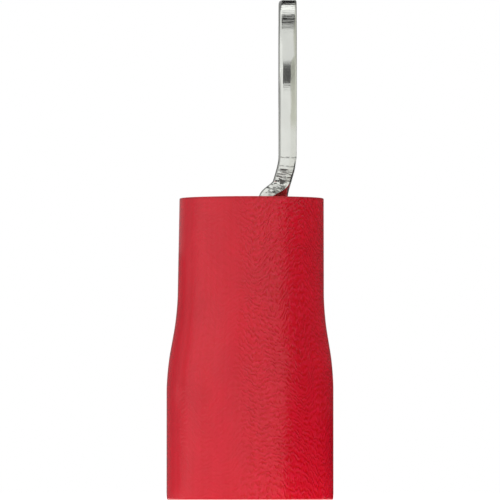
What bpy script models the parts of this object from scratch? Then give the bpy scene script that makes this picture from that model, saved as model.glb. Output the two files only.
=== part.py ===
"""Insulated ring terminal for a thick stranded wire, standing on the rear rim of its sleeve.

Units are metres, +Z is up along the sleeve's axis, and the origin is on that axis in the plane
of the rear rim. The ring's flat seat faces +X, and the ring's width runs along Y.

The terminal is one piece of tinned copper sheet. It is stamped as a flat blank (ring, neck and
barrel wing), sliced where it has to bend, and then formed: the neck is joggled towards the axis
and the wing is rolled into a barrel with a butted seam. The vinyl sleeve grips the barrel and
opens behind it into a funnel for the wire's own insulation.
"""

import math

import bmesh
import bpy
from mathutils import Vector

# Sheet
STOCK = 0.0012
EDGE_BREAK = 0.00012

# Barrel, with serrations pressed into its inner wall
BARREL_BORE = 0.0046
BARREL_LENGTH = 0.0055
SEAM_GAP = 0.00012
SEAM_CORNER = 0.0006
SERRATION_COUNT = 3
SERRATION_FLOOR = 0.0003
SERRATION_DEPTH = 0.00015

# Tongue: the ring round the stud, and the neck that carries it
STUD_HOLE = 0.0053
RING_BAND = 0.00185
TONGUE_RUN = 0.00425
SEAT_INSET = 0.0004
NECK_WIDTH = 0.0048
NECK_FILLET = 0.0022
NECK_RISE = 0.0008

# Forming, from the barrel's front up to the tongue
SHOULDER_RUN = 0.0015
WALL_RUN = 0.0015
JOGGLE = 0.0006
JOGGLE_BELOW = 0.0002
JOGGLE_ABOVE = 0.0028
CURL_ABOVE = 0.001

# Sleeve, from its rear rim up
POCKET_BORE = 0.00892
POCKET_WALL = 0.0011
POCKET_DEPTH = 0.0064
FUNNEL_RUN = 0.0054
FUNNEL_LEAD = 0.0004
FLARE_DELAY = 0.0012
FLARE_RUN = 0.0058
GRIP_WALL = 0.001335
GRIP_GAP = 0.00005
MOUTH_TAPER = 0.000075
RIM_ROUND = 0.00015

# Smoothness of the round forms
RING_STEP = math.radians(6)
CORNER_STEP = math.radians(10)
ROLL_STEP = math.radians(9)
CURL_STEP = 0.00015
JOGGLE_STEP = 0.0003
SLEEVE_SEGMENTS = 72
FLARE_POINTS = 8
WELD = 1e-7

# Radii worked out from the sizes above
BARREL_MIDDLE = BARREL_BORE / 2 + STOCK / 2
BARREL_OUTER = BARREL_BORE / 2 + STOCK
WING_HALF = math.pi * BARREL_MIDDLE - SEAM_GAP / 2
RING_OUTER = STUD_HOLE / 2 + RING_BAND
SEAT_MIDDLE = BARREL_OUTER - SEAT_INSET - STOCK / 2
NECK_MIDDLE = SEAT_MIDDLE - JOGGLE
GRIP_BORE = BARREL_OUTER + GRIP_GAP
GRIP_OUTER = GRIP_BORE + GRIP_WALL
POCKET_INNER = POCKET_BORE / 2
POCKET_OUTER = POCKET_INNER + POCKET_WALL

# Heights worked out from the sizes above
FUNNEL_TOP = POCKET_DEPTH + FUNNEL_RUN
FLARE_FOOT = POCKET_DEPTH + FLARE_DELAY
FLARE_TOP = FLARE_FOOT + FLARE_RUN
BARREL_REAR = FUNNEL_TOP - FUNNEL_LEAD
BARREL_FRONT = BARREL_REAR + BARREL_LENGTH
WALL_FOOT = BARREL_FRONT + SHOULDER_RUN
JOGGLE_FOOT = WALL_FOOT + WALL_RUN
MOUTH = JOGGLE_FOOT + JOGGLE_BELOW
CURL_TOP = MOUTH + CURL_ABOVE
JOGGLE_TOP = MOUTH + JOGGLE_ABOVE
RING_CENTRE = MOUTH + TONGUE_RUN + RING_OUTER


def clear_scene():
    """Removes whatever the scene holds."""
    for obj in list(bpy.data.objects):
        bpy.data.objects.remove(obj, do_unlink=True)


def new_collection(name):
    """A collection in the scene."""
    collection = bpy.data.collections.new(name)
    bpy.context.scene.collection.children.link(collection)
    return collection


def material(name, colour, roughness, metallic):
    """A Principled material of one plain finish."""
    made = bpy.data.materials.new(name)
    made.use_nodes = True
    shader = made.node_tree.nodes["Principled BSDF"]
    shader.inputs["Base Color"].default_value = (*colour, 1.0)
    shader.inputs["Roughness"].default_value = roughness
    shader.inputs["Metallic"].default_value = metallic
    return made


def ease(share):
    """A smooth step from 0 to 1, flat at both ends."""
    share = min(1.0, max(0.0, share))
    return share * share * (3.0 - 2.0 * share)


def on_circle(centre, radius, angle):
    """The point of a circle at an angle."""
    return centre + Vector((math.cos(angle), math.sin(angle))) * radius


def arc(centre, radius, start, end, step):
    """Points of an arc from one angle to another, both ends included."""
    count = max(1, math.ceil(abs(end - start) / step - 1e-6))
    return [
        on_circle(centre, radius, start + (end - start) * i / count)
        for i in range(count + 1)
    ]


def crossing_normal(bump, bump_radius, hollow, hollow_radius, side):
    """The angle of the normal of the line that runs from a convex arc to a concave one."""
    apart = hollow - bump
    opening = math.acos((bump_radius + hollow_radius) / apart.length)
    return math.atan2(apart.y, apart.x) + side * opening


def half_blank():
    """The blank's right edge in its own plane, from the top of the ring down to the barrel's rear."""
    ring = Vector((0.0, RING_CENTRE))
    hollow = Vector((NECK_WIDTH / 2 + NECK_FILLET, MOUTH + NECK_RISE))
    corner = Vector((WING_HALF - SEAM_CORNER, BARREL_FRONT))
    waist = crossing_normal(ring, RING_OUTER, hollow, NECK_FILLET, 1)
    shoulder = crossing_normal(corner, SEAM_CORNER, hollow, NECK_FILLET, -1)
    edge = arc(ring, RING_OUTER, math.pi / 2, waist, RING_STEP)
    edge += arc(hollow, NECK_FILLET, waist + math.pi, shoulder + math.pi, CORNER_STEP)
    edge += arc(corner, SEAM_CORNER, shoulder, 0.0, CORNER_STEP)
    edge.append(Vector((WING_HALF, BARREL_REAR)))
    return edge


def blank_outline():
    """The closed outline of the blank: the right edge and its mirror image."""
    right = half_blank()
    left = [Vector((-point.x, point.y)) for point in reversed(right[1:])]
    return right + left


def add_loop(curve, points):
    """Adds a closed straight-sided spline to a flat curve."""
    spline = curve.splines.new("POLY")
    spline.points.add(len(points) - 1)
    for target, point in zip(spline.points, points):
        target.co = (point.x, point.y, 0.0, 1.0)
    spline.use_cyclic_u = True


def stamped_blank():
    """The flat blank with its hole and broken edges, as a bmesh with Z through the sheet."""
    curve = bpy.data.curves.new("blank", "CURVE")
    curve.dimensions = "2D"
    curve.fill_mode = "BOTH"
    curve.bevel_depth = EDGE_BREAK
    curve.bevel_resolution = 0
    curve.offset = -EDGE_BREAK
    curve.extrude = STOCK / 2 - EDGE_BREAK
    add_loop(curve, blank_outline())
    add_loop(
        curve,
        arc(Vector((0.0, RING_CENTRE)), STUD_HOLE / 2, 0.0, math.tau, RING_STEP)[:-1],
    )
    holder = bpy.data.objects.new("blank", curve)
    bpy.context.scene.collection.objects.link(holder)
    graph = bpy.context.evaluated_depsgraph_get()
    flat = bpy.data.meshes.new_from_object(holder.evaluated_get(graph))
    bpy.data.objects.remove(holder, do_unlink=True)
    sheet = bmesh.new()
    sheet.from_mesh(flat)
    bpy.data.meshes.remove(flat)
    bmesh.ops.remove_doubles(sheet, verts=sheet.verts, dist=WELD)
    bmesh.ops.recalc_face_normals(sheet, faces=sheet.faces)
    return sheet


def slice_sheet(sheet, across, place, below=math.inf):
    """Cuts the sheet at one place along X or Y, so that it can bend there."""
    normal = Vector((1.0, 0.0, 0.0)) if across == "X" else Vector((0.0, 1.0, 0.0))
    faces = [f for f in sheet.faces if max(v.co.y for v in f.verts) < below + WELD]
    edges = {e for f in faces for e in f.edges}
    verts = {v for f in faces for v in f.verts}
    bmesh.ops.bisect_plane(
        sheet,
        geom=faces + list(edges) + list(verts),
        dist=WELD,
        plane_co=normal * place,
        plane_no=normal,
    )


def serration_middles():
    """Heights of the serrations' middles, evenly spread over the barrel."""
    pitch = BARREL_LENGTH / (SERRATION_COUNT + 1)
    return [BARREL_REAR + pitch * (i + 1) for i in range(SERRATION_COUNT)]


def serration_edges():
    """Heights where a serration's flat floor and its 45 degree sides begin and end."""
    floor = SERRATION_FLOOR / 2
    side = floor + SERRATION_DEPTH
    return [m + step for m in serration_middles() for step in (-side, -floor, floor, side)]


def serration_depth(height):
    """How deep the inner wall is pressed at a height."""
    away = min(abs(height - middle) for middle in serration_middles())
    return SERRATION_DEPTH if away < SERRATION_FLOOR / 2 + WELD else 0.0


def even_steps(start, end, step):
    """Evenly spaced places from the start up to, but not including, the end."""
    count = math.ceil((end - start) / step - 1e-6)
    return [start + (end - start) * i / count for i in range(count)]


def curl(height):
    """The sheet's curvature across its width at a height: none in the tongue, full in the barrel."""
    return ease((CURL_TOP - height) / (CURL_TOP - MOUTH)) / BARREL_MIDDLE


def spine(height):
    """The X of the sheet's middle on its centre line: tongue, neck, then the barrel's wall."""
    if height > JOGGLE_FOOT:
        drop = ease((JOGGLE_TOP - height) / (JOGGLE_TOP - JOGGLE_FOOT))
        return SEAT_MIDDLE - JOGGLE * drop
    rise = ease((JOGGLE_FOOT - height) / WALL_RUN)
    return NECK_MIDDLE + (BARREL_MIDDLE - NECK_MIDDLE) * rise


def middle_surface(across, height):
    """The point of the formed sheet's middle surface that a point of the flat blank moves to."""
    bend = curl(height)
    if bend * NECK_WIDTH < 1e-6:
        return Vector((spine(height), across, height))
    turn = across * bend
    return Vector(
        (
            spine(height) - (1.0 - math.cos(turn)) / bend,
            math.sin(turn) / bend,
            height,
        )
    )


def formed(across, height, through):
    """The formed place of a point of the blank that lies some way through the sheet.

    The press thins the sheet where it slopes, so its faces are offset from the middle surface
    halfway between square to it and level.
    """
    near = STOCK / 1000
    along = middle_surface(across + near, height) - middle_surface(across - near, height)
    up = middle_surface(across, height + near) - middle_surface(across, height - near)
    square = along.cross(up).normalized()
    level = Vector((square.x, square.y, 0.0)).normalized()
    return middle_surface(across, height) + (square + level) * through / 2


def ring_terminal(collection, finish):
    """The one-piece terminal: blank, slices, forming and serrations."""
    sheet = stamped_blank()
    rows = serration_edges()
    rows += even_steps(BARREL_FRONT, CURL_TOP, CURL_STEP)
    rows += even_steps(CURL_TOP, JOGGLE_TOP, JOGGLE_STEP)
    for height in [*rows, JOGGLE_TOP]:
        slice_sheet(sheet, "Y", height)
    columns = math.ceil(math.pi / ROLL_STEP)
    for i in range(1 - columns, columns):
        slice_sheet(sheet, "X", WING_HALF * i / columns, CURL_TOP)
    inner = STOCK / 2 - WELD
    for vert in sheet.verts:
        across, height, through = vert.co
        if through < -inner:
            through += serration_depth(height)
        vert.co = formed(across, height, through)
    return add_part("ring_terminal", sheet, collection, finish)


def sleeve_outer_radius(height):
    """The sleeve's outer radius over the flare, from the pocket's up to the grip's."""
    return GRIP_OUTER + (POCKET_OUTER - GRIP_OUTER) * ease((FLARE_TOP - height) / FLARE_RUN)


def sleeve_inner_radius(height):
    """The sleeve's inner radius over the funnel that leads the wire into the barrel."""
    return GRIP_BORE + (POCKET_INNER - GRIP_BORE) * ease((FUNNEL_TOP - height) / FUNNEL_RUN)


def sleeve_profile():
    """The sleeve's closed section as (radius, height), down its outer side and up its inner side."""
    mouth = GRIP_OUTER - MOUTH_TAPER
    flare = [FLARE_TOP - FLARE_RUN * i / FLARE_POINTS for i in range(FLARE_POINTS + 1)]
    funnel = [POCKET_DEPTH + FUNNEL_RUN * i / FLARE_POINTS for i in range(FLARE_POINTS + 1)]
    return [
        (mouth - RIM_ROUND, MOUTH),
        (mouth, MOUTH - RIM_ROUND),
        *[(sleeve_outer_radius(height), height) for height in flare],
        (POCKET_OUTER, RIM_ROUND),
        (POCKET_OUTER - RIM_ROUND, 0.0),
        (POCKET_INNER + RIM_ROUND, 0.0),
        (POCKET_INNER, RIM_ROUND),
        *[(sleeve_inner_radius(height), height) for height in funnel],
        (GRIP_BORE, MOUTH - RIM_ROUND),
        (GRIP_BORE + RIM_ROUND, MOUTH),
    ]


def insulation_sleeve(collection, finish):
    """The vinyl sleeve, its section turned round the axis."""
    profile = bmesh.new()
    corners = [profile.verts.new((radius, 0.0, z)) for radius, z in sleeve_profile()]
    for i, corner in enumerate(corners):
        profile.edges.new((corner, corners[(i + 1) % len(corners)]))
    sleeve = add_part("insulation_sleeve", profile, collection, finish)
    turning = sleeve.modifiers.new("turned", "SCREW")
    turning.steps = SLEEVE_SEGMENTS
    turning.render_steps = SLEEVE_SEGMENTS
    turning.use_merge_vertices = True
    turning.merge_threshold = WELD
    return sleeve


def add_part(name, mesh, collection, finish):
    """Turns a bmesh into a smooth-shaded object of the collection."""
    data = bpy.data.meshes.new(name)
    mesh.to_mesh(data)
    mesh.free()
    data.materials.append(finish)
    data.shade_smooth()
    data.set_sharp_from_angle(angle=math.radians(35))
    part = bpy.data.objects.new(name, data)
    collection.objects.link(part)
    return part


def main():
    """Builds the terminal and its sleeve."""
    clear_scene()
    collection = new_collection("insulated_ring_terminal")
    tin = material("tinned_copper", (0.72, 0.72, 0.70), 0.25, 1.0)
    vinyl = material("red_vinyl", (0.55, 0.02, 0.035), 0.45, 0.0)
    ring_terminal(collection, tin)
    insulation_sleeve(collection, vinyl)


main()
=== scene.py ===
"""Dresses the insulated ring terminal: tinned sheet, red vinyl sleeve and a small white studio."""

import math

import bmesh
import bpy
from mathutils import Matrix, Vector


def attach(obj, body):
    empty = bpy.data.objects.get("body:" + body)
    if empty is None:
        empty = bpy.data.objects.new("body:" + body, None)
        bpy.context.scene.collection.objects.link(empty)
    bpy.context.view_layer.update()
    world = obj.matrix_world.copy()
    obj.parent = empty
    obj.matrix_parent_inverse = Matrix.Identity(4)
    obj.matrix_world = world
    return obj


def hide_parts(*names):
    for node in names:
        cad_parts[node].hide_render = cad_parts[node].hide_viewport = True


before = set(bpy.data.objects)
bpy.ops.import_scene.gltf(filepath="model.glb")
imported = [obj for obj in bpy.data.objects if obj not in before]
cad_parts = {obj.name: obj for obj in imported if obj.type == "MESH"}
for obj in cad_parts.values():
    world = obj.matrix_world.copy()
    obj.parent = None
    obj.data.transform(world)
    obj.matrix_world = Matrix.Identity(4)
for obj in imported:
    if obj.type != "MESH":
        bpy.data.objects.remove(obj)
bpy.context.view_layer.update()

bl_info = {
    "name": "Insulated Ring Terminal",
    "version": (1, 0, 0),
    "blender": (4, 5, 0),
    "location": "3D View > Sidebar > Ring Terminal",
    "description": "Models and finishes an insulated ring terminal and sets up its studio",
    "category": "Object",
}

MM = 0.001
WELD = 1e-7  # vertices nearer than this, in metres, are one
HOLD = 0.03 * MM  # width of the strips that keep the faces beside a rounding flat
STRAIGHT = 10 * HOLD  # the least length of a straight in the sleeve's section
NUDGE = 0.0024 * MM  # length of the steps that find the formed sheet's direction
FLAT_BEND = 1e-4  # share of the barrel's curve under which the sheet counts as flat
LEVEL_NORMAL = 0.99  # the least Z in the normal of a face that lies level
SHARP_ANGLE = math.radians(50.0)
FLAT_PLACE = "flat_place"  # where each vertex lay in the flat blank: across, height, through

# Steps in the curves
RING_STEPS = 54
HOLE_STEPS = 60
FILLET_STEPS = 24
CORNER_STEPS = 8
EDGE_STEPS = 3
FLARE_STEPS = 10
RIM_STEPS = 5
TURN_STEPS = 180
CARD_STEPS = 24

# Slices that let the blank bend: along the curl, along the joggle and across half the wing
CURL_SLICES = 53
JOGGLE_SLICES = 15
WING_SLICES = 40


def length(name, description, millimetres):
    """A length property whose default is given in millimetres."""
    return bpy.props.FloatProperty(
        name=name,
        description=description,
        default=millimetres * MM,
        min=0.0,
        precision=5,
        subtype="DISTANCE",
        unit="LENGTH",
    )


def colour(name, description, value):
    """A colour property."""
    return bpy.props.FloatVectorProperty(
        name=name,
        description=description,
        default=value,
        min=0.0,
        max=1.0,
        size=3,
        subtype="COLOR",
    )


class TerminalSizes(bpy.types.PropertyGroup):
    """Sizes of the stamped and rolled sheet."""

    stock: length("Stock", "Thickness of the copper sheet", 1.2)
    die_roll: length("Die roll", "Rounding where the punch entered the sheet", 0.27)
    burr_round: length("Burr rounding", "Rounding where the punch left the sheet", 0.12)
    barrel_bore: length("Barrel bore", "Inside diameter of the wire barrel", 4.6)
    barrel_rear: length("Barrel rear", "Height of the barrel's rear end", 11.4)
    barrel_front: length("Barrel front", "Height of the barrel's front edge at its seam", 16.9)
    seam_gap: length("Seam gap", "Gap between the butted edges of the barrel", 0.12)
    seam_corner: length("Seam corner", "Corner radius of the barrel's front edge", 0.6)
    serration_floor: length("Serration floor", "Width of a serration's floor", 0.3)
    serration_depth: length("Serration depth", "Depth of the serrations in the barrel", 0.15)
    stud_hole: length("Stud hole", "Diameter of the hole for the stud", 5.3)
    ring_band: length("Ring band", "Width of the metal round the hole", 1.85)
    ring_centre: length("Ring centre", "Height of the stud hole's centre", 28.85)
    seat_middle: length("Seat middle", "Distance of the tongue's middle plane from the axis", 2.5)
    neck_width: length("Neck width", "Width of the tongue at its narrowest", 4.8)
    neck_fillet: length("Neck fillet", "Radius of the hollow beside the neck", 2.2)
    neck_height: length("Neck height", "Height of the neck's narrowest place", 20.9)
    joggle: length("Joggle", "How far the neck steps towards the axis", 0.6)
    joggle_top: length("Joggle top", "Height where the tongue starts to step", 22.9)
    joggle_foot: length("Joggle foot", "Height where the step ends", 19.9)
    wall_foot: length("Wall foot", "Height where the barrel's wall is reached", 18.4)
    curl_top: length("Curl top", "Height where the sheet starts to curl", 21.1)
    curl_foot: length("Curl foot", "Height where the sheet has the barrel's curve", 20.1)
    tin: colour("Tin", "Colour of the bright tin plating", (0.745, 0.76, 0.715))


class SleeveSizes(bpy.types.PropertyGroup):
    """Sizes of the vinyl sleeve."""

    mouth: length("Mouth", "Height of the sleeve's mouth", 20.1)
    mouth_radius: length("Mouth radius", "Outer radius at the mouth", 4.81)
    grip_radius: length("Grip radius", "Outer radius where the flare begins", 4.885)
    grip_bore: length("Grip bore", "Inner radius round the barrel", 3.55)
    pocket_radius: length("Pocket radius", "Outer radius of the rear", 5.56)
    pocket_bore: length("Pocket bore", "Inner radius of the rear", 4.46)
    flare_top: length("Flare top", "Height of the flare's upper corner", 12.43)
    flare_foot: length("Flare foot", "Height of the flare's lower corner", 8.57)
    funnel_top: length("Funnel top", "Height of the funnel's upper corner", 10.9)
    funnel_foot: length("Funnel foot", "Height of the funnel's lower corner", 7.3)
    flare_round: length("Flare rounding", "Length of the bend at the flare's corners", 1.3)
    lean: length("Lean", "How far the mouth's outside leans, as moulded", 0.107)
    lean_foot: length("Lean foot", "Height where the lean begins", 7.3)
    rim_round: length("Rim rounding", "Rounding of the mouth and the rear rim", 0.08)
    vinyl: colour("Vinyl", "Colour of the vinyl", (0.535, 0.0015, 0.0155))


class StudioSizes(bpy.types.PropertyGroup):
    """Sizes of the floor, the cards round the set and the camera's stand."""

    floor: length("Floor", "Width of the white floor", 6000.0)
    room_radius: length("Room radius", "Distance of the large standing cards", 300.0)
    room_height: length("Room height", "Height of the large standing cards", 250.0)
    dome_radius: length("Dome radius", "Distance of the large overhead cards", 500.0)
    dome_centre: length("Dome centre", "Height that the overhead cards are bent round", 30.0)
    collar_radius: length("Collar radius", "Distance of the cards on the sleeve's left", 18.0)
    close_radius: length("Close radius", "Distance of the cards on the sleeve's right", 8.0)
    lens_radius: length("Lens radius", "Distance of the small cards over the ring", 14.0)
    camera_distance: length("Camera distance", "Distance of the camera from the axis", 600.0)
    camera_height: length("Camera height", "Height of the camera above the floor", 0.5)
    aim_height: length("Aim height", "Height that the camera looks at", 16.653)
    pixels: bpy.props.FloatProperty(
        name="Pixels per millimetre",
        description="Scale of the picture at the sleeve's axis",
        default=15.0,
    )


# Shapes


def ease(share):
    """A smooth step from 0 to 1, flat at both ends."""
    share = min(1.0, max(0.0, share))
    return share * share * (3.0 - 2.0 * share)


def wall_radius(sizes):
    """The radius of the middle of the barrel's wall."""
    return (sizes.barrel_bore + sizes.stock) / 2


def half_wing(sizes):
    """Half the width of the flat wing that is rolled into the barrel."""
    return math.pi * wall_radius(sizes) - sizes.seam_gap / 2


def crossing_normal(bump, bump_radius, hollow, hollow_radius, side):
    """The angle of the normal of the line that runs from a convex arc to a concave one."""
    apart = hollow - bump
    opening = math.acos((bump_radius + hollow_radius) / apart.length)
    return math.atan2(apart.y, apart.x) + side * opening


def beside(centre, radius, angle):
    """A point of an arc."""
    return centre.x + radius * math.cos(angle), centre.y + radius * math.sin(angle)


def swing(sheet, vert, centre, angle, steps):
    """Draws an arc from a vertex and returns its last vertex."""
    made = bmesh.ops.spin(
        sheet,
        geom=[vert],
        cent=(centre.x, centre.y, 0.0),
        axis=(0.0, 0.0, 1.0),
        angle=angle,
        steps=steps,
        use_merge=False,
    )
    return next(part for part in made["geom_last"] if isinstance(part, bmesh.types.BMVert))


def reach(sheet, vert, across, height):
    """Draws a straight edge from a vertex and returns its far vertex."""
    made = bmesh.ops.extrude_vert_indiv(sheet, verts=[vert])
    made["verts"][0].co = (across, height, 0.0)
    return made["verts"][0]


def draw_half_blank(sheet, sizes):
    """Draws the right half of the flat blank, its half of the stud hole included."""
    wing = half_wing(sizes)
    hole = sizes.stud_hole / 2
    outer = hole + sizes.ring_band
    fillet = sizes.neck_fillet
    ring = Vector((0.0, sizes.ring_centre))
    hollow = Vector((sizes.neck_width / 2 + fillet, sizes.neck_height))
    corner = Vector((wing - sizes.seam_corner, sizes.barrel_front))
    waist = crossing_normal(ring, outer, hollow, fillet, 1)
    shoulder = crossing_normal(corner, sizes.seam_corner, hollow, fillet, -1)

    pen = sheet.verts.new((0.0, sizes.ring_centre + outer, 0.0))
    pen = swing(sheet, pen, ring, waist - math.pi / 2, RING_STEPS)
    pen = reach(sheet, pen, *beside(hollow, fillet, waist + math.pi))
    pen = swing(sheet, pen, hollow, shoulder - waist, FILLET_STEPS)
    pen = reach(sheet, pen, *beside(corner, sizes.seam_corner, shoulder))
    pen = swing(sheet, pen, corner, -shoulder, CORNER_STEPS)
    pen = reach(sheet, pen, wing, sizes.barrel_rear)
    pen = reach(sheet, pen, 0.0, sizes.barrel_rear)
    pen = reach(sheet, pen, 0.0, sizes.ring_centre - hole)
    pen = swing(sheet, pen, ring, math.pi, HOLE_STEPS)
    reach(sheet, pen, 0.0, sizes.ring_centre + outer)
    bmesh.ops.remove_doubles(sheet, verts=sheet.verts, dist=WELD)
    bmesh.ops.contextual_create(sheet, geom=sheet.edges[:])


def thicken(sheet, stock):
    """Makes the half blank solid and whole: rolled faces in slot 0, cut edges in slot 1."""
    made = bmesh.ops.extrude_face_region(sheet, geom=sheet.faces[:], use_keep_orig=True)
    raised = [part for part in made["geom"] if isinstance(part, bmesh.types.BMVert)]
    bmesh.ops.translate(sheet, verts=raised, vec=(0.0, 0.0, stock))
    bmesh.ops.translate(sheet, verts=sheet.verts, vec=(0.0, 0.0, -stock / 2))
    middle = [face for face in sheet.faces if all(abs(v.co.x) < WELD for v in face.verts)]
    bmesh.ops.delete(sheet, geom=middle, context="FACES_ONLY")
    bmesh.ops.mirror(sheet, geom=sheet.faces[:], axis="X", merge_dist=WELD)
    bmesh.ops.remove_doubles(sheet, verts=sheet.verts, dist=WELD)
    bmesh.ops.recalc_face_normals(sheet, faces=sheet.faces)
    for face in sheet.faces:
        face.material_index = 0 if abs(face.normal.z) > 0.5 else 1


def round_cut_edges(sheet, side, width):
    """Rounds the cut edges on one side of the blank, as a punch leaves them."""
    near = [edge for edge in sheet.edges if all(v.co.z * side > 0.0 for v in edge.verts)]
    bmesh.ops.bevel(
        sheet,
        geom=[edge for edge in near if edge.calc_face_angle(0.0) > SHARP_ANGLE],
        offset=width,
        segments=EDGE_STEPS,
        profile=0.5,
        affect="EDGES",
        material=-1,
    )


def slice_sheet(sheet, normal, place, below=math.inf):
    """Cuts the sheet at one place, so that it can bend there."""
    faces = [face for face in sheet.faces if max(v.co.y for v in face.verts) < below + WELD]
    edges = {edge for face in faces for edge in face.edges}
    verts = {vert for face in faces for vert in face.verts}
    bmesh.ops.bisect_plane(
        sheet,
        geom=faces + list(edges) + list(verts),
        dist=WELD,
        plane_co=Vector(normal) * place,
        plane_no=normal,
    )


def hold_flats(sheet, sizes):
    """Adds narrow strips beside the rounded edges, so that the flats reflect as flats."""
    flats = [face for face in sheet.faces if abs(face.normal.z) > LEVEL_NORMAL]
    bmesh.ops.inset_region(sheet, faces=flats, thickness=HOLD, use_even_offset=True)
    slice_sheet(sheet, (0.0, 0.0, 1.0), sizes.die_roll + HOLD - sizes.stock / 2)
    slice_sheet(sheet, (0.0, 0.0, 1.0), sizes.stock / 2 - sizes.burr_round - HOLD)


def serration_middles(sizes):
    """Heights of the three serrations in the barrel."""
    pitch = (sizes.barrel_front - sizes.barrel_rear) / 4
    return [sizes.barrel_rear + pitch * i for i in (1, 2, 3)]


def stepped(low, high, steps):
    """Even steps from a low height up to a high one, which is left out."""
    return [low + (high - low) * i / steps for i in range(steps)]


def slice_for_forming(sheet, sizes):
    """Cuts the blank across and along wherever the press bends it."""
    half = sizes.serration_floor / 2
    full = half + sizes.serration_depth
    sides = (-full, -half, half, full)
    rows = [middle + side for middle in serration_middles(sizes) for side in sides]
    rows += stepped(sizes.barrel_front, sizes.curl_top, CURL_SLICES)
    rows += stepped(sizes.curl_top, sizes.joggle_top, JOGGLE_SLICES)
    rows.append(sizes.joggle_top)
    for row in rows:
        slice_sheet(sheet, (0.0, 1.0, 0.0), row)
    for i in range(1 - WING_SLICES, WING_SLICES):
        across = half_wing(sizes) * i / WING_SLICES
        slice_sheet(sheet, (1.0, 0.0, 0.0), across, sizes.curl_top)


def spine(sizes, height):
    """The X of the sheet's middle on its centre line: tongue, neck, then the barrel's wall."""
    if height > sizes.joggle_foot:
        run = sizes.joggle_top - sizes.joggle_foot
        return sizes.seat_middle - sizes.joggle * ease((sizes.joggle_top - height) / run)
    neck = sizes.seat_middle - sizes.joggle
    run = sizes.joggle_foot - sizes.wall_foot
    return neck + (wall_radius(sizes) - neck) * ease((sizes.joggle_foot - height) / run)


def middle_surface(sizes, across, height):
    """Where a point of the flat blank lies once its middle surface is formed."""
    curled = ease((sizes.curl_top - height) / (sizes.curl_top - sizes.curl_foot))
    if curled < FLAT_BEND:
        return Vector((spine(sizes, height), across, height))
    bend = curled / wall_radius(sizes)
    turn = across * bend
    sag = (1.0 - math.cos(turn)) / bend
    return Vector((spine(sizes, height) - sag, math.sin(turn) / bend, height))


def form(sheet, sizes):
    """Presses the neck, rolls the barrel and sinks the serrations."""
    middles = serration_middles(sizes)
    flat = sheet.verts.layers.float_vector.new(FLAT_PLACE)

    def surface(across, height):
        return middle_surface(sizes, across, height)

    for vert in sheet.verts:
        vert[flat] = vert.co / MM
        across, height, through = vert.co
        if through < WELD - sizes.stock / 2:
            away = min(abs(height - middle) for middle in middles)
            if away < sizes.serration_floor / 2 + WELD:
                through += sizes.serration_depth
        along = surface(across + NUDGE, height) - surface(across - NUDGE, height)
        up = surface(across, height + NUDGE) - surface(across, height - NUDGE)
        square = along.cross(up).normalized()
        level = Vector((square.x, square.y, 0.0)).normalized()
        vert.co = surface(across, height) + (square + level) * through / 2


def sleeve_corners(sizes):
    """The corners of the sleeve's section: radius, height and rounding."""
    rim = sizes.rim_round
    flare = sizes.flare_round
    return [
        (sizes.grip_bore, sizes.mouth, rim),
        (sizes.mouth_radius, sizes.mouth, rim),
        (sizes.grip_radius, sizes.flare_top, flare),
        (sizes.pocket_radius, sizes.flare_foot, flare),
        (sizes.pocket_radius, 0.0, rim),
        (sizes.pocket_bore, 0.0, rim),
        (sizes.pocket_bore, sizes.funnel_foot, flare),
        (sizes.grip_bore, sizes.funnel_top, flare),
    ]


def draw_section(sleeve, sizes):
    """Draws the sleeve's section in the XZ plane and rounds its corners."""
    corners = sleeve_corners(sizes)
    verts = [sleeve.verts.new((radius, 0.0, height)) for radius, height, _ in corners]
    for i, vert in enumerate(verts):
        sleeve.edges.new((vert, verts[(i + 1) % len(verts)]))
    for rounding, steps in ((sizes.flare_round, FLARE_STEPS), (sizes.rim_round, RIM_STEPS)):
        bmesh.ops.bevel(
            sleeve,
            geom=[vert for vert, corner in zip(verts, corners) if corner[2] == rounding],
            offset=rounding,
            segments=steps,
            profile=0.5,
            affect="VERTICES",
            material=-1,
        )


def hold_straights(sleeve):
    """Adds a short edge at both ends of each straight, so that it reflects straight."""
    ends = [vert for edge in sleeve.edges if edge.calc_length() > STRAIGHT for vert in edge.verts]
    for vert in ends:
        straight = max(vert.link_edges, key=lambda edge: edge.calc_length())
        bmesh.utils.edge_split(straight, vert, HOLD / straight.calc_length())


def turn_section(sleeve):
    """Turns the section once round the axis."""
    bmesh.ops.spin(
        sleeve,
        geom=sleeve.verts[:] + sleeve.edges[:],
        cent=(0.0, 0.0, 0.0),
        axis=(0.0, 0.0, 1.0),
        angle=math.tau,
        steps=TURN_STEPS,
        use_merge=True,
    )
    bmesh.ops.remove_doubles(sleeve, verts=sleeve.verts, dist=WELD)
    bmesh.ops.recalc_face_normals(sleeve, faces=sleeve.faces)


def lean_outside(sleeve, sizes):
    """Leans the outside towards the mouth and leaves the bore upright."""
    wall = sizes.mouth_radius - sizes.grip_bore
    for vert in sleeve.verts:
        outside = (math.hypot(vert.co.x, vert.co.y) - sizes.grip_bore) / wall
        risen = max(0.0, vert.co.z - sizes.lean_foot) / (sizes.mouth - sizes.lean_foot)
        vert.co.x += sizes.lean * risen * min(1.0, max(0.0, outside))


def new_object(name, shape, materials):
    """Turns a bmesh into an object of the scene."""
    mesh = bpy.data.meshes.new(name)
    shape.to_mesh(mesh)
    shape.free()
    for material in materials:
        mesh.materials.append(material)
    made = bpy.data.objects.new(name, mesh)
    bpy.context.scene.collection.objects.link(made)
    return made


def add_piece(name, shape, materials):
    """Turns a bmesh into a smooth piece with sharp corners."""
    made = new_object(name, shape, materials)
    made.data.shade_smooth()
    made.data.set_sharp_from_angle(angle=SHARP_ANGLE)
    return made


# Nodes

MOST_NOISE = (0.3, 0.7)  # the values between which most noise lies


def new_material(name):
    """A material with its node tree and its shader."""
    made = bpy.data.materials.new(name)
    made.use_nodes = True
    return made, made.node_tree, made.node_tree.nodes["Principled BSDF"]


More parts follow.
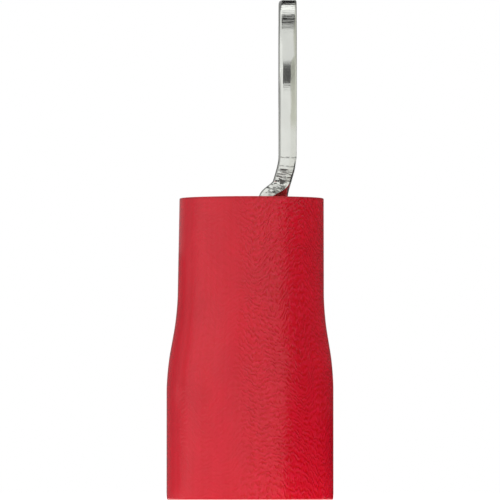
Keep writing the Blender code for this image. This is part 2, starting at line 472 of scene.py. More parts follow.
def feed(tree, socket, value):
    """Links a socket to an input, or sets its plain value."""
    if isinstance(value, bpy.types.NodeSocket):
        tree.links.new(value, socket)
    else:
        socket.default_value = value


def math_node(tree, operation, *values):
    """A Math node whose inputs are numbers or sockets."""
    node = tree.nodes.new("ShaderNodeMath")
    node.operation = operation
    for socket, value in zip(node.inputs, values):
        feed(tree, socket, value)
    return node.outputs[0]


def total(tree, first, *others):
    """The sum of numbers and sockets."""
    for other in others:
        first = math_node(tree, "ADD", first, other)
    return first


def product(tree, first, *others):
    """The product of numbers and sockets."""
    for other in others:
        first = math_node(tree, "MULTIPLY", first, other)
    return first


def greatest(tree, first, *others):
    """The greatest of numbers and sockets."""
    for other in others:
        first = math_node(tree, "MAXIMUM", first, other)
    return first


def ranged(tree, value, span, before, after, base=0.0):
    """A level that goes smoothly from before to after as the value crosses a span above a base."""
    low, high = span
    node = tree.nodes.new("ShaderNodeMapRange")
    node.interpolation_type = "SMOOTHSTEP"
    for socket, given in zip(node.inputs, (value, base + low, base + high, before, after)):
        feed(tree, socket, given)
    return node.outputs[0]


def object_place(tree):
    """Object coordinates in millimetres."""
    place = tree.nodes.new("ShaderNodeTexCoord")
    scale = tree.nodes.new("ShaderNodeVectorMath")
    scale.operation = "SCALE"
    scale.inputs["Scale"].default_value = 1.0 / MM
    tree.links.new(place.outputs["Object"], scale.inputs[0])
    return scale.outputs[0]


def flat_place(tree):
    """The place in the flat blank, in millimetres: across, height and through the sheet."""
    place = tree.nodes.new("ShaderNodeAttribute")
    place.attribute_name = FLAT_PLACE
    return place.outputs["Vector"]


def split(tree, vector):
    """The X, Y and Z of a vector."""
    parts = tree.nodes.new("ShaderNodeSeparateXYZ")
    tree.links.new(vector, parts.inputs[0])
    return tuple(parts.outputs)


def distance_from(tree, place, point):
    """The distance of a place from a point, in millimetres."""
    away = tree.nodes.new("ShaderNodeVectorMath")
    away.operation = "DISTANCE"
    tree.links.new(place, away.inputs[0])
    away.inputs[1].default_value = point
    return away.outputs["Value"]


def noise(tree, place, pattern):
    """One of the noise patterns, stretched along the axes of a place."""
    stretch, detail = pattern
    mapping = tree.nodes.new("ShaderNodeMapping")
    mapping.inputs["Scale"].default_value = stretch
    tree.links.new(place, mapping.inputs["Vector"])
    made = tree.nodes.new("ShaderNodeTexNoise")
    made.inputs["Scale"].default_value = 1.0
    made.inputs["Detail"].default_value = detail
    tree.links.new(mapping.outputs[0], made.inputs["Vector"])
    return made.outputs[0]


def spread(tree, value, levels):
    """Noise spread over a range of levels."""
    return ranged(tree, value, MOST_NOISE, *levels)


def mixed(tree, kind, share, first, second):
    """Two colours mixed as far as the share says; the kind is MIX or MULTIPLY."""
    node = tree.nodes.new("ShaderNodeMix")
    node.data_type = "RGBA"
    node.blend_type = kind
    feed(tree, node.inputs["Factor"], share)
    feed(tree, node.inputs["A"], first)
    feed(tree, node.inputs["B"], second)
    return node.outputs["Result"]


def bumped(tree, shader, height, depth):
    """Feeds a height into the shader's normal: 1 stands for the depth in millimetres."""
    bump = tree.nodes.new("ShaderNodeBump")
    bump.inputs["Distance"].default_value = depth * MM
    tree.links.new(height, bump.inputs["Height"])
    tree.links.new(bump.outputs[0], shader.inputs["Normal"])


# Tinned sheet

# Noise patterns: features in a millimetre across, up and through the sheet, and detail
CLOUD = ((0.7, 0.5, 0.7), 4.0)
STREAK = ((5.0, 0.8, 6.0), 3.0)
SCRATCH = ((9.0, 1.0, 9.0), 2.0)
WANDER = ((0.3, 0.6, 0.1), 3.0)
SPECKLE = ((4.0, 8.0, 4.0), 3.0)
SCUFF = ((2.2, 11.0, 2.2), 2.0)
DRIFT = ((1.0, 0.1, 0.9), 2.0)
LINE_GAPS = ((2.0, 5.0, 2.2), 1.0)
SHEAR = ((4.5, 4.5, 0.6), 3.0)

# Spans of noise from bare to marked, and from a gap in a painted reflection line to a whole line
SPECKLED = (0.56, 0.62)
SCUFFED = (0.47, 0.55)
WHOLE_LINE = (0.4, 0.52)

# Spans of height above the ring's centre, in mm
SHOULDER_FADES = (-1.45, -0.45)
TORN_GROWS = (-4.65, -3.45)
TORN_NARROWS = (0.05, 0.75)
GRAIN_GROWS = (-0.95, -0.55)
GRAIN_GROWS_AGAIN = (0.65, 2.15)

# Spans of height above the curl's foot and above its top, in mm
MARKS_START = (0.1, 0.4)
SPECKLES_END = (0.2, 0.4)
SCUFFS_END = (0.7, 0.9)

# Spans through the sheet, from the face where the punch entered and from the middle, in mm
SHOULDER_STARTS = (0.003, 0.025)
SHOULDER_ENDS = (0.1, 0.17)
TORN_BORDER = (0.27, 0.42)

# Painted dark reflection lines across the cut edge: height above the curl's top, half width in mm,
# darkness
REFLECTION_LINES = (
    (1.63, 0.08, 0.6),
    (1.07, 0.07, 0.55),
    (0.82, 0.09, 1.0),
    (0.52, 0.07, 0.7),
    (0.36, 0.08, 0.8),
)
LINE_CORE = 1 / 3  # share of a line's half width that is fully dark

# The smudge below them, in mm: height above the curl's top, place through the sheet, half
# height and half width; the span of its edge is in squared half sizes
SMUDGE = (0.02, -0.13, 0.22, 0.34)
SMUDGE_EDGE = (0.2, 1.6)
SMUDGE_DENSITY = 0.14

# How far noise moves the torn band and the painted reflection lines, and how far the band narrows,
# in mm
WANDER_WIDTH = 0.3
DRIFT_WIDTH = 0.3
TORN_NARROWING = 0.24

# Tones, gloss and depths: levels are shares of full, depths are in mm
CLOUD_LEVELS = (0.95, 1.03)
SMOOTHEST = 0.05
FACE_GLOSS_SPREAD = 0.2
CUT_GLOSS_SPREAD = 0.16
DULLNESS = 0.25
SHOULDER_DARKNESS = 0.5
SCUFF_DARKNESS = 0.65
LINE_GAP_LEVEL = 0.2
MARK_AND_REFLECTION_LEVEL = 0.14
FAINT_TEAR = 0.3
TORN_TINT = (0.77, 0.775, 0.7, 1.0)
SCRATCH_DEPTH = 0.004
SHEAR_DEPTH = 0.03
GRAIN_LEVELS = (0.12, 0.3)
GRAIN_GAIN = 0.7


def plated_group():
    """A node group for plated metal: cloudy tone, uneven gloss and hairline scratches."""
    group = bpy.data.node_groups.new("Plated surface", "ShaderNodeTree")
    face = group.interface
    face.new_socket("Place", in_out="INPUT", socket_type="NodeSocketVector")
    face.new_socket("Tone", in_out="INPUT", socket_type="NodeSocketColor")
    face.new_socket("Gloss spread", in_out="INPUT", socket_type="NodeSocketFloat")
    face.new_socket("Colour", in_out="OUTPUT", socket_type="NodeSocketColor")
    face.new_socket("Roughness", in_out="OUTPUT", socket_type="NodeSocketFloat")
    face.new_socket("Scratches", in_out="OUTPUT", socket_type="NodeSocketFloat")
    taken = group.nodes.new("NodeGroupInput").outputs
    given = group.nodes.new("NodeGroupOutput").inputs
    level = spread(group, noise(group, taken["Place"], CLOUD), CLOUD_LEVELS)
    group.links.new(mixed(group, "MULTIPLY", 1.0, taken["Tone"], level), given["Colour"])
    uneven = product(group, noise(group, taken["Place"], STREAK), taken["Gloss spread"])
    group.links.new(total(group, uneven, SMOOTHEST), given["Roughness"])
    group.links.new(noise(group, taken["Place"], SCRATCH), given["Scratches"])
    return group


def place_plated(tree, group, place, tone, gloss_spread):
    """Adds the plated group to a material with its own values."""
    node = tree.nodes.new("ShaderNodeGroup")
    node.node_tree = group
    tree.links.new(place, node.inputs["Place"])
    node.inputs["Tone"].default_value = (*tone, 1.0)
    node.inputs["Gloss spread"].default_value = gloss_spread
    return node.outputs


def shoulder_level(tree, sizes, height, through):
    """Darkens a thin line on the rounding where the punch entered, below the ring."""
    entry = -sizes.stock / MM / 2
    starts = ranged(tree, through, SHOULDER_STARTS, 0.0, SHOULDER_DARKNESS, entry)
    ends = ranged(tree, through, SHOULDER_ENDS, 1.0, 0.0, entry)
    fades = ranged(tree, height, SHOULDER_FADES, 1.0, 0.0, sizes.ring_centre / MM)
    return math_node(tree, "SUBTRACT", 1.0, product(tree, starts, ends, fades))


def tinned_face(group, sizes):
    """The rolled faces of the sheet: bright, with faint rolling lines along the tongue."""
    made, tree, shader = new_material("Tinned face")
    place = flat_place(tree)
    height, through = split(tree, place)[1:]
    plated = place_plated(tree, group, place, sizes.tin, FACE_GLOSS_SPREAD)
    level = shoulder_level(tree, sizes, height, through)
    toned = mixed(tree, "MULTIPLY", 1.0, plated["Colour"], level)
    tree.links.new(toned, shader.inputs["Base Color"])
    tree.links.new(plated["Roughness"], shader.inputs["Roughness"])
    shader.inputs["Metallic"].default_value = 1.0
    bumped(tree, shader, plated["Scratches"], SCRATCH_DEPTH)
    return made


def torn_share(tree, sizes, place, height, through):
    """The band that tore before the punch was through: faint at the neck, narrow at the end."""
    ring = sizes.ring_centre / MM
    wander = product(tree, noise(tree, place, WANDER), WANDER_WIDTH)
    narrowed = ranged(tree, height, TORN_NARROWS, 0.0, -TORN_NARROWING, ring)
    torn = ranged(tree, total(tree, through, wander, narrowed), TORN_BORDER, 0.0, 1.0)
    return product(tree, torn, ranged(tree, height, TORN_GROWS, FAINT_TEAR, 1.0, ring))


def speckles(tree, sizes, place, height, through):
    """Dark speckles at the foot of the neck, densest in the smudge."""
    curl = sizes.curl_top / MM
    smudge_height, smudge_through, half_height, half_width = SMUDGE
    up = math_node(tree, "SUBTRACT", height, curl + smudge_height)
    up = math_node(tree, "DIVIDE", up, half_height)
    out = math_node(tree, "SUBTRACT", through, smudge_through)
    out = math_node(tree, "DIVIDE", out, half_width)
    apart = total(tree, product(tree, up, up), product(tree, out, out))
    denser = ranged(tree, apart, SMUDGE_EDGE, SMUDGE_DENSITY, 0.0)
    blots = total(tree, noise(tree, place, SPECKLE), denser)
    dark = ranged(tree, blots, SPECKLED, 0.0, 1.0)
    return product(tree, dark, ranged(tree, height, SPECKLES_END, 1.0, 0.0, curl))


def scuffs(tree, sizes, place, height):
    """Level scuffs at the foot of the neck, up to the darkest painted reflection line."""
    dark = ranged(tree, noise(tree, place, SCUFF), SCUFFED, 0.0, SCUFF_DARKNESS)
    return product(tree, dark, ranged(tree, height, SCUFFS_END, 1.0, 0.0, sizes.curl_top / MM))


def reflection_lines(tree, sizes, place, height):
    """Painted dark reflection lines across the edge, a little askew and broken in places."""
    curl = sizes.curl_top / MM
    askew = math_node(tree, "SUBTRACT", noise(tree, place, DRIFT), 0.5)
    level = total(tree, height, product(tree, askew, DRIFT_WIDTH))
    gapped = ranged(tree, noise(tree, place, LINE_GAPS), WHOLE_LINE, LINE_GAP_LEVEL, 1.0)
    line_darkness = []
    # Each line is a painted dark reflection
    for line, width, darkness in REFLECTION_LINES:
        away = math_node(tree, "ABSOLUTE", math_node(tree, "SUBTRACT", level, curl + line))
        line_darkness.append(ranged(tree, away, (width * LINE_CORE, width), darkness, 0.0))
    return product(tree, greatest(tree, *line_darkness), gapped)


def edge_marks_and_reflections(tree, sizes, place, height, through):
    """The dark speckles and scuffs that the press left at the foot of the neck, and the painted
    dark reflection lines across the cut edge at the bend.
    """
    specks = speckles(tree, sizes, place, height, through)
    low = greatest(tree, specks, scuffs(tree, sizes, place, height))
    starts = ranged(tree, height, MARKS_START, 0.0, 1.0, sizes.curl_foot / MM)
    return greatest(tree, product(tree, low, starts), reflection_lines(tree, sizes, place, height))


def shear_grain(tree, sizes, place, height):
    """The sheared band's grain, which grows in two steps towards the tongue's end."""
    ring = sizes.ring_centre / MM
    beside_hole = ranged(tree, height, GRAIN_GROWS, *GRAIN_LEVELS, ring)
    near_end = ranged(tree, height, GRAIN_GROWS_AGAIN, 0.0, GRAIN_GAIN, ring)
    return product(tree, noise(tree, place, SHEAR), total(tree, beside_hole, near_end))


def tinned_cut(group, sizes):
    """The punched edges: a bright sheared band, a dull torn band, press marks and painted dark
    reflection lines at the bend.
    """
    made, tree, shader = new_material("Tinned cut edge")
    place = flat_place(tree)
    height, through = split(tree, place)[1:]
    plated = place_plated(tree, group, place, sizes.tin, CUT_GLOSS_SPREAD)
    torn = torn_share(tree, sizes, place, height, through)
    marks_and_reflections = edge_marks_and_reflections(tree, sizes, place, height, through)
    # Darkens the press marks and the painted dark reflection lines
    level = ranged(tree, marks_and_reflections, (0.0, 1.0), 1.0, MARK_AND_REFLECTION_LEVEL)
    level = product(tree, level, shoulder_level(tree, sizes, height, through))
    toned = mixed(tree, "MULTIPLY", 1.0, plated["Colour"], level)
    toned = mixed(tree, "MULTIPLY", torn, toned, TORN_TINT)
    tree.links.new(toned, shader.inputs["Base Color"])
    dull = product(tree, greatest(tree, torn, marks_and_reflections), DULLNESS)
    tree.links.new(total(tree, plated["Roughness"], dull), shader.inputs["Roughness"])
    shader.inputs["Metallic"].default_value = 1.0
    bumped(tree, shader, shear_grain(tree, sizes, place, height), SHEAR_DEPTH)
    return made


# Red vinyl

# Noise patterns: features in a millimetre, and detail; all but the mottle lie on the skin
WARP = ((0.3, 0.09, 1.0), 1.0)
STRAY = ((3.6, 1.5, 1.0), 2.0)
BREAK = ((3.0, 2.6, 1.0), 1.0)
PATCH = ((0.25, 0.15, 1.0), 1.0)
DRAW = ((4.0, 0.06, 1.0), 2.0)
GRAIN = ((7.0, 7.0, 1.0), 1.0)
MOTTLE = ((0.5, 0.5, 0.35), 3.0)
GLOSS = ((1.5, 1.5, 1.0), 3.0)

# Wavelets, in mm: radius of the unrolled skin, pitch, depth, and how far noise shifts them
SKIN_RADIUS = 5.2
RIPPLE_PITCH = 0.36
RIPPLE_DEPTH = 0.045
WARP_HEIGHT = 6.5
STRAY_HEIGHT = 0.8
PATCH_WIDTH = 2.0

# Spans round the skin where their strength changes, in mm from the front towards the right
RIGHT_STARTS = (-0.6, 1.6)
RIGHT_ENDS = (11.0, 16.0)
LEFT_ENDS = (-5.0, -2.5)
REAR_STARTS = (-15.5, -12.0)
REAR_ENDS = (-12.0, -8.0)

# How strong the wavelets are: broken or whole, and by side
UNBROKEN = (0.35, 0.62)
BROKEN_WAVE = 0.08
WHOLE_WAVE = 0.5
WEAK_SIDE = 0.25
LEFT_SIDE = 0.35
REAR_SIDE = 0.9
LEFT_OF_REAR = 0.09

# Tones, each a share of the vinyl's colour: painted shade in the hollows, painted sheen on the
# crests and the draw lines' shift between them; and the gloss
SHADE_SHARES = (0.89, 0.0, 0.2)
SHEEN_SHARES = (1.11, 4.0, 1.8)
DRAW_SHADE_AND_SHEEN = (0.42, 0.58)
DRAW_DEPTH = 0.08
MOTTLE_LEVELS = (0.96, 1.04)
VINYL_ROUGHNESS = (0.15, 0.21)
VINYL_SPECULAR = 0.42

# The brim's dark line, in mm above the mouth, and the bore's edge, in mm outside its radius
BRIM_STARTS = (-0.17, -0.08)
BRIM_ENDS = (-0.04, 0.0)
BRIM_DARKNESS = 0.26
BORE_EDGE = (0.03, 0.11)
# Painted light: the bore's brighter red stands in for light that comes through the vinyl wall
PAINTED_BORE_LIGHT = (0.96, 0.07, 0.085, 1.0)


def way_round(tree, across, back):
    """How far round the sleeve's skin a place lies, in mm: 0 in front, more to the right."""
    turn = math_node(tree, "ARCTAN2", across, product(tree, back, -1.0))
    return product(tree, turn, SKIN_RADIUS)


def unrolled(tree, around, height):
    """The sleeve's skin laid flat: the way round and the height."""
    skin = tree.nodes.new("ShaderNodeCombineXYZ")
    tree.links.new(around, skin.inputs["X"])
    tree.links.new(height, skin.inputs["Y"])
    return skin.outputs[0]


def nested_waves(tree, skin, height):
    """Level wavelets that bend together, stray a little and fade in places."""
    warp = product(tree, noise(tree, skin, WARP), WARP_HEIGHT)
    stray = product(tree, noise(tree, skin, STRAY), STRAY_HEIGHT)
    phase = total(tree, height, total(tree, warp, stray))
    wave = math_node(tree, "SINE", product(tree, phase, math.tau / RIPPLE_PITCH))
    whole = ranged(tree, noise(tree, skin, BREAK), UNBROKEN, BROKEN_WAVE, WHOLE_WAVE)
    return product(tree, wave, whole)


def ripple_strength(tree, skin, around):
    """How strong the wavelets are: most on the right, and behind on the left."""
    edge = total(tree, around, product(tree, noise(tree, skin, PATCH), PATCH_WIDTH))
    starts = ranged(tree, edge, RIGHT_STARTS, WEAK_SIDE, 1.0)
    ends = ranged(tree, edge, RIGHT_ENDS, 1.0, WEAK_SIDE)
    right = math_node(tree, "MINIMUM", starts, ends)
    right = product(tree, right, ranged(tree, edge, LEFT_ENDS, LEFT_SIDE, 1.0))
    starts = ranged(tree, edge, REAR_STARTS, WEAK_SIDE, REAR_SIDE)
    ends = ranged(tree, edge, REAR_ENDS, REAR_SIDE, LEFT_OF_REAR)
    return greatest(tree, right, math_node(tree, "MINIMUM", starts, ends))


def vinyl_shade_and_sheen(tree, tone, shade_to_sheen):
    """The vinyl's colour with painted shade in the hollows and painted sheen on the crests."""
    shaded = [part * share for part, share in zip(tone, SHADE_SHARES)]
    sheened = [part * share for part, share in zip(tone, SHEEN_SHARES)]
    return mixed(tree, "MIX", shade_to_sheen, (*shaded, 1.0), (*sheened, 1.0))


def brim_shade(tree, sizes, height):
    """A darker line round the outside just below the mouth."""
    mouth = sizes.mouth / MM
    starts = ranged(tree, height, BRIM_STARTS, 0.0, BRIM_DARKNESS, mouth)
    ends = ranged(tree, height, BRIM_ENDS, BRIM_DARKNESS, 0.0, mouth)
    return math_node(tree, "MINIMUM", starts, ends)


def bore_light_share(tree, sizes, across, back):
    """1 on the skin of the narrow bore, which is painted with light that comes through the vinyl
    wall; 0 outside it.
    """
    squared = total(tree, product(tree, across, across), product(tree, back, back))
    radius = math_node(tree, "SQRT", squared)
    return ranged(tree, radius, BORE_EDGE, 1.0, 0.0, sizes.grip_bore / MM)


def red_vinyl(sizes):
    """Vinyl with nested wavelets pressed into its skin and faint draw lines along it, its colour
    carrying painted shade and sheen.
    """
    made, tree, shader = new_material("Red vinyl")
    place = object_place(tree)
    across, back, height = split(tree, place)
    around = way_round(tree, across, back)
    skin = unrolled(tree, around, height)
    strength = ripple_strength(tree, skin, around)
    rippled = product(tree, nested_waves(tree, skin, height), strength)
    draw = noise(tree, skin, DRAW)
    skin_height = total(tree, rippled, product(tree, draw, DRAW_DEPTH))
    bumped(tree, shader, skin_height, RIPPLE_DEPTH)

    grain = math_node(tree, "SUBTRACT", noise(tree, skin, GRAIN), 0.5)
    grain = product(tree, grain, strength)
    # Painted shade and sheen: the wavelets, the grain and the draw lines shift the colour between
    # them
    shade_to_sheen = total(tree, rippled, grain, spread(tree, draw, DRAW_SHADE_AND_SHEEN))
    toned = vinyl_shade_and_sheen(tree, sizes.vinyl, shade_to_sheen)
    mottle = spread(tree, noise(tree, place, MOTTLE), MOTTLE_LEVELS)
    level = math_node(tree, "SUBTRACT", mottle, brim_shade(tree, sizes, height))
    toned = mixed(tree, "MULTIPLY", 1.0, toned, level)
    # Painted light on the bore, for light that comes through the vinyl wall
    toned = mixed(tree, "MIX", bore_light_share(tree, sizes, across, back), toned, PAINTED_BORE_LIGHT)
    tree.links.new(toned, shader.inputs["Base Color"])
    gloss = spread(tree, noise(tree, skin, GLOSS), VINYL_ROUGHNESS)
    tree.links.new(gloss, shader.inputs["Roughness"])
    shader.inputs["Specular IOR Level"].default_value = VINYL_SPECULAR
    return made


# Studio

# Light that the floor gives round the sleeve: centre, span of its radius in mm, strength
FLOOR_GLOWS = (
    ((0.0, 0.0, 0.0), (4.0, 26.0), 0.52),
    ((0.0, 0.0, 0.0), (5.5, 8.0), 0.35),
    ((5.0, -2.5, 0.0), (2.0, 7.0), 0.32),
)

# How bright the floor is to the camera and in reflections, and how grey and rough it is
FLOOR_SEEN = 0.6
FLOOR_MIRRORED = 0.03
FLOOR_GREY = 0.86
FLOOR_ROUGHNESS = 0.9

# How bright each card looks in a shiny surface, and how grey it is without its light
CARD_LEVELS = {
    "Black": 0.0,
    "Dark": 0.03,
    "Shade": 0.065,
    "Lens": 0.09,
    "Dusky": 0.13,
    "Dim": 0.25,
    "Grey": 0.43,
    "Pale": 1.0,
    "White": 1.25,
}
CARD_GREY = 0.02

# Soft lamps: name, place and width in metres, power in watts
LAMPS = (
    ("Key lamp", (-0.85, -0.45, 0.42), 0.7, 3.85),
    ("Fill lamp", (0.6, -0.8, 0.25), 0.7, 2.8),
    ("Top lamp", (0.0, 0.12, 0.78), 0.3, 2.6),
)
LAMP_AIM = Vector((0.0, 0.0, 15.0 * MM))

# White surround: its level as light and in reflections
WHITE = (1.0, 1.0, 1.0, 1.0)
WORLD_LIGHT = 0.5
WORLD_MIRRORED = 0.86

# Camera: sensor in mm, picture in pixels, nearest and farthest thing it shows in metres
SENSOR_WIDTH = 36.0
PICTURE_WIDTH = 500.0
CLIP_START = 0.01
CLIP_END = 20.0


def stage_material(name, grey, roughness):
    """A matte grey material without shine that can glow white."""
    made, tree, shader = new_material(name)
    shader.inputs["Base Color"].default_value = (grey, grey, grey, 1.0)
    shader.inputs["Roughness"].default_value = roughness
    shader.inputs["Specular IOR Level"].default_value = 0.0
    shader.inputs["Emission Color"].default_value = WHITE
    return made, tree, shader


def floor_material():
    """White floor lit from beneath round the sleeve; it keeps the shadow."""
    made, tree, shader = stage_material("Studio floor", FLOOR_GREY, FLOOR_ROUGHNESS)
    path = tree.nodes.new("ShaderNodeLightPath").outputs
    place = object_place(tree)
    glows = [
        ranged(tree, distance_from(tree, place, centre), span, strength, 0.0)
        for centre, span, strength in FLOOR_GLOWS
    ]
    lit = total(
        tree,
        product(tree, path["Is Diffuse Ray"], total(tree, *glows)),
        product(tree, path["Is Camera Ray"], FLOOR_SEEN),
        product(tree, path["Is Glossy Ray"], FLOOR_MIRRORED),
    )
    tree.links.new(lit, shader.inputs["Emission Strength"])
    return made


def card_material(name, level):
    """A card that looks as bright as its level in a shiny surface."""
    made, _, shader = stage_material(name, CARD_GREY, 1.0)
    shader.inputs["Emission Strength"].default_value = level
    return made


def add_stage(name, shape, material, reflected_only=False):
    """The floor or a card; a card shows only in reflections and casts no shadow."""
    made = new_object(name, shape, [material])
    if reflected_only:
        made.visible_camera = False
        made.visible_shadow = False
        made.visible_diffuse = False
        made.visible_transmission = False


def bent_card(name, material, profile, centre, axis, start, end):
    """A card bent round an axis: its profile is turned to the start and swept to the end."""
    card = bmesh.new()
    verts = [card.verts.new(corner) for corner in profile]
    edges = [card.edges.new(pair) for pair in zip(verts, verts[1:])]
    first_turn = Matrix.Rotation(math.radians(start), 3, axis)
    bmesh.ops.rotate(card, verts=verts, cent=centre, matrix=first_turn)
    bmesh.ops.spin(
        card,
        geom=verts + edges,
        cent=centre,
        axis=axis,
        angle=math.radians(end - start),
        steps=CARD_STEPS,
        use_merge=False,
    )
    add_stage(name, card, material, reflected_only=True)


def standing_card(name, material, radius, foot, top, start, end):
    """A card that stands round the set, from one bearing to another, 0 being the camera's."""
    profile = ((0.0, -radius, foot), (0.0, -radius, top))
    bent_card(name, material, profile, (0.0, 0.0, 0.0), (0.0, 0.0, 1.0), start, end)


def collar_card(name, material, radius, top, start, end):
    """A low card close round the sleeve, with a foot that lies on the floor."""
    sleeve = 5.7 * MM
    floor = 0.05 * MM
    profile = ((0.0, -sleeve, floor), (0.0, -radius, floor), (0.0, -radius, top))
    bent_card(name, material, profile, (0.0, 0.0, 0.0), (0.0, 0.0, 1.0), start, end)


def overhead_card(name, material, centre_height, radius, middle, width, start, end):
    """A card bent over the ring, from one elevation to another, 0 being the camera's."""
    left = (middle - width / 2, -radius, centre_height)
    right = (middle + width / 2, -radius, centre_height)
    centre = (0.0, 0.0, centre_height)
    bent_card(name, material, (left, right), centre, (-1.0, 0.0, 0.0), start, end)


def add_close_cards(studio, cards):
    """Cards close round the sleeve, which shade its right side, its left edge and its rear."""
    close = studio.close_radius
    collar = studio.collar_radius
    black_top = 5.5 * MM
    dark_top = 9.0 * MM
    shade_top = 20.4 * MM
    collar_card("card_sleeve_right", cards["Black"], close, black_top, 32.0, 176.0)
    standing_card("card_flare_right", cards["Dark"], close, black_top, dark_top, 35.0, 176.0)
    standing_card("card_mouth_right", cards["Shade"], close, dark_top, shade_top, 38.0, 176.0)
    collar_card("card_sleeve_left", cards["Dim"], collar, 6.0 * MM, 246.0, 262.0)
    collar_card("card_sleeve_rear", cards["Dusky"], collar, 17.0 * MM, 184.0, 246.0)


def add_room_cards(studio, cards):
    """The large cards that stand round the set, and the low bright one before it."""
    radius = studio.room_radius
    height = studio.room_height
    standing_card("card_rear_left", cards["Dim"], radius, 0.0, height, 186.0, 240.0)
    standing_card("card_side_left", cards["Grey"], radius, 0.0, height, 240.0, 262.0)
    standing_card("card_right", cards["Grey"], radius, 0.0, height, 75.0, 130.0)
    standing_card("card_rear_right", cards["Dark"], radius, 0.0, height, 130.0, 176.0)
    standing_card("card_left", cards["Pale"], radius, 0.0, height, 262.0, 335.0)
    standing_card("card_low", cards["White"], radius, 0.0, 30.0 * MM, -25.0, 25.0)


def add_overhead_cards(studio, cards):
    """The large cards over the set and the two small ones before the ring."""
    centre = studio.dome_centre
    dome = studio.dome_radius
    near = studio.lens_radius
    wide = 500.0 * MM
    wider = 600.0 * MM
    tongue = 2.5 * MM
    overhead_card("card_front", cards["Grey"], centre, dome, 0.0, wide, 67.5, 81.5)
    overhead_card("card_above", cards["Black"], centre, dome, 0.0, wide, 81.5, 97.5)
    overhead_card("card_top", cards["White"], centre, dome, 0.0, wide, 108.5, 130.0)
    overhead_card("card_rear", cards["Black"], centre, dome, 0.0, wider, 130.5, 163.0)
    overhead_card("card_camera", cards["Lens"], centre, near, tongue, 3.0 * MM, -30.0, -7.0)
    overhead_card("card_brow", cards["Dim"], centre, near, tongue, 4.0 * MM, -7.0, 0.0)


def turn_towards(made, place, aim):
    """Puts a lamp or the camera in its place and turns it towards an aim."""
    made.location = place
    made.rotation_euler = (aim - place).to_track_quat("-Z", "Y").to_euler()
    bpy.context.scene.collection.objects.link(made)


def soft_lamp(name, place, size, energy):
    """A square soft lamp turned towards the terminal, which isn't seen in reflections."""
    lamp = bpy.data.lights.new(name, "AREA")
    lamp.size = size
    lamp.energy = energy
    made = bpy.data.objects.new(name, lamp)
    made.visible_glossy = False
    turn_towards(made, Vector(place), LAMP_AIM)


def white_world():
    """A white surround: full white to the camera, softer as light and in reflections."""
    world = bpy.data.worlds.new("White surround")
    bpy.context.scene.world = world
    world.use_nodes = True
    tree = world.node_tree
    shader = tree.nodes["Background"]
    shader.inputs["Color"].default_value = WHITE
    path = tree.nodes.new("ShaderNodeLightPath").outputs
    mirrored = greatest(tree, path["Is Glossy Ray"], path["Is Transmission Ray"])
    level = total(tree, product(tree, mirrored, WORLD_MIRRORED - WORLD_LIGHT), WORLD_LIGHT)
    seen = greatest(tree, level, path["Is Camera Ray"])
    tree.links.new(seen, shader.inputs["Strength"])


def add_camera(studio):
    """A long lens at floor height, aimed so that the sleeve stands on the picture's edge."""
    data = bpy.data.cameras.new("Camera")
    data.sensor_width = SENSOR_WIDTH
    data.lens = studio.pixels / MM * studio.camera_distance * SENSOR_WIDTH / PICTURE_WIDTH
    data.clip_start = CLIP_START
    data.clip_end = CLIP_END
    made = bpy.data.objects.new("Camera", data)
    place = Vector((0.0, -studio.camera_distance, studio.camera_height))
    turn_towards(made, place, Vector((0.0, 0.0, studio.aim_height)))
    bpy.context.scene.camera = made


class RINGTERM_OT_terminal(bpy.types.Operator):
    """Stamp, slice and form the tinned terminal."""

    bl_idname = "ringterm.terminal"
    bl_label = "Ring Terminal"

    def execute(self, context):
        sizes = context.scene.ringterm_terminal
        sheet = bmesh.new()
        draw_half_blank(sheet, sizes)
        thicken(sheet, sizes.stock)
        round_cut_edges(sheet, -1, sizes.die_roll)
        round_cut_edges(sheet, 1, sizes.burr_round)
        hold_flats(sheet, sizes)
        slice_for_forming(sheet, sizes)
        form(sheet, sizes)
        group = plated_group()
        finishes = [tinned_face(group, sizes), tinned_cut(group, sizes)]
        piece = add_piece("tinned_terminal", sheet, finishes)
        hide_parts("ring_terminal")
        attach(piece, "root")
        return {"FINISHED"}


class RINGTERM_OT_sleeve(bpy.types.Operator):
    """Turn the vinyl sleeve with its funnel, flare and rounded rims."""

    bl_idname = "ringterm.sleeve"
    bl_label = "Vinyl Sleeve"

    def execute(self, context):
        sizes = context.scene.ringterm_sleeve
        sleeve = bmesh.new()
        draw_section(sleeve, sizes)
        hold_straights(sleeve)
        turn_section(sleeve)
        lean_outside(sleeve, sizes)
        piece = add_piece("vinyl_sleeve", sleeve, [red_vinyl(sizes)])
        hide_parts("insulation_sleeve")
        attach(piece, "root")
        return {"FINISHED"}


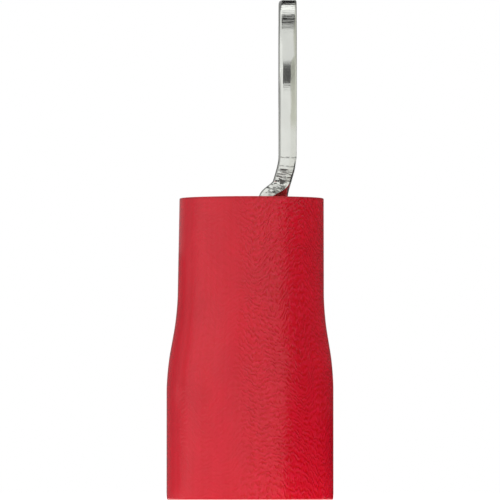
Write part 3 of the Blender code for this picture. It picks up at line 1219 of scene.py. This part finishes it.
class RINGTERM_OT_studio(bpy.types.Operator):
    """Set up the white floor, the cards, the lamps and the camera."""

    bl_idname = "ringterm.studio"
    bl_label = "Studio"

    def execute(self, context):
        studio = context.scene.ringterm_studio
        context.scene.view_settings.view_transform = "Standard"
        ground = bmesh.new()
        bmesh.ops.create_grid(ground, x_segments=1, y_segments=1, size=studio.floor / 2)
        add_stage("floor", ground, floor_material())
        cards = {tone: card_material(f"{tone} card", level) for tone, level in CARD_LEVELS.items()}
        add_close_cards(studio, cards)
        add_room_cards(studio, cards)
        add_overhead_cards(studio, cards)
        white_world()
        for name, place, size, energy in LAMPS:
            soft_lamp(name, place, size, energy)
        add_camera(studio)
        return {"FINISHED"}


STEPS = (RINGTERM_OT_studio, RINGTERM_OT_terminal, RINGTERM_OT_sleeve)


class RINGTERM_PT_panel(bpy.types.Panel):
    """Lists the steps that build the terminal."""

    bl_idname = "RINGTERM_PT_panel"
    bl_label = "Ring Terminal"
    bl_space_type = "VIEW_3D"
    bl_region_type = "UI"
    bl_category = "Ring Terminal"

    def draw(self, context):
        column = self.layout.column()
        for step in STEPS:
            column.operator(step.bl_idname)


CLASSES = (TerminalSizes, SleeveSizes, StudioSizes, *STEPS, RINGTERM_PT_panel)


def register():
    """Registers the classes and hangs their sizes on the scene."""
    for cls in CLASSES:
        bpy.utils.register_class(cls)
    scene = bpy.types.Scene
    scene.ringterm_terminal = bpy.props.PointerProperty(type=TerminalSizes)
    scene.ringterm_sleeve = bpy.props.PointerProperty(type=SleeveSizes)
    scene.ringterm_studio = bpy.props.PointerProperty(type=StudioSizes)


def unregister():
    """Takes the sizes off the scene and unregisters the classes."""
    del bpy.types.Scene.ringterm_terminal
    del bpy.types.Scene.ringterm_sleeve
    del bpy.types.Scene.ringterm_studio
    for cls in reversed(CLASSES):
        bpy.utils.unregister_class(cls)


def main():
    """Builds the studio and both pieces."""
    register()
    bpy.ops.ringterm.studio()
    bpy.ops.ringterm.terminal()
    bpy.ops.ringterm.sleeve()


if __name__ == "__main__":
    main()
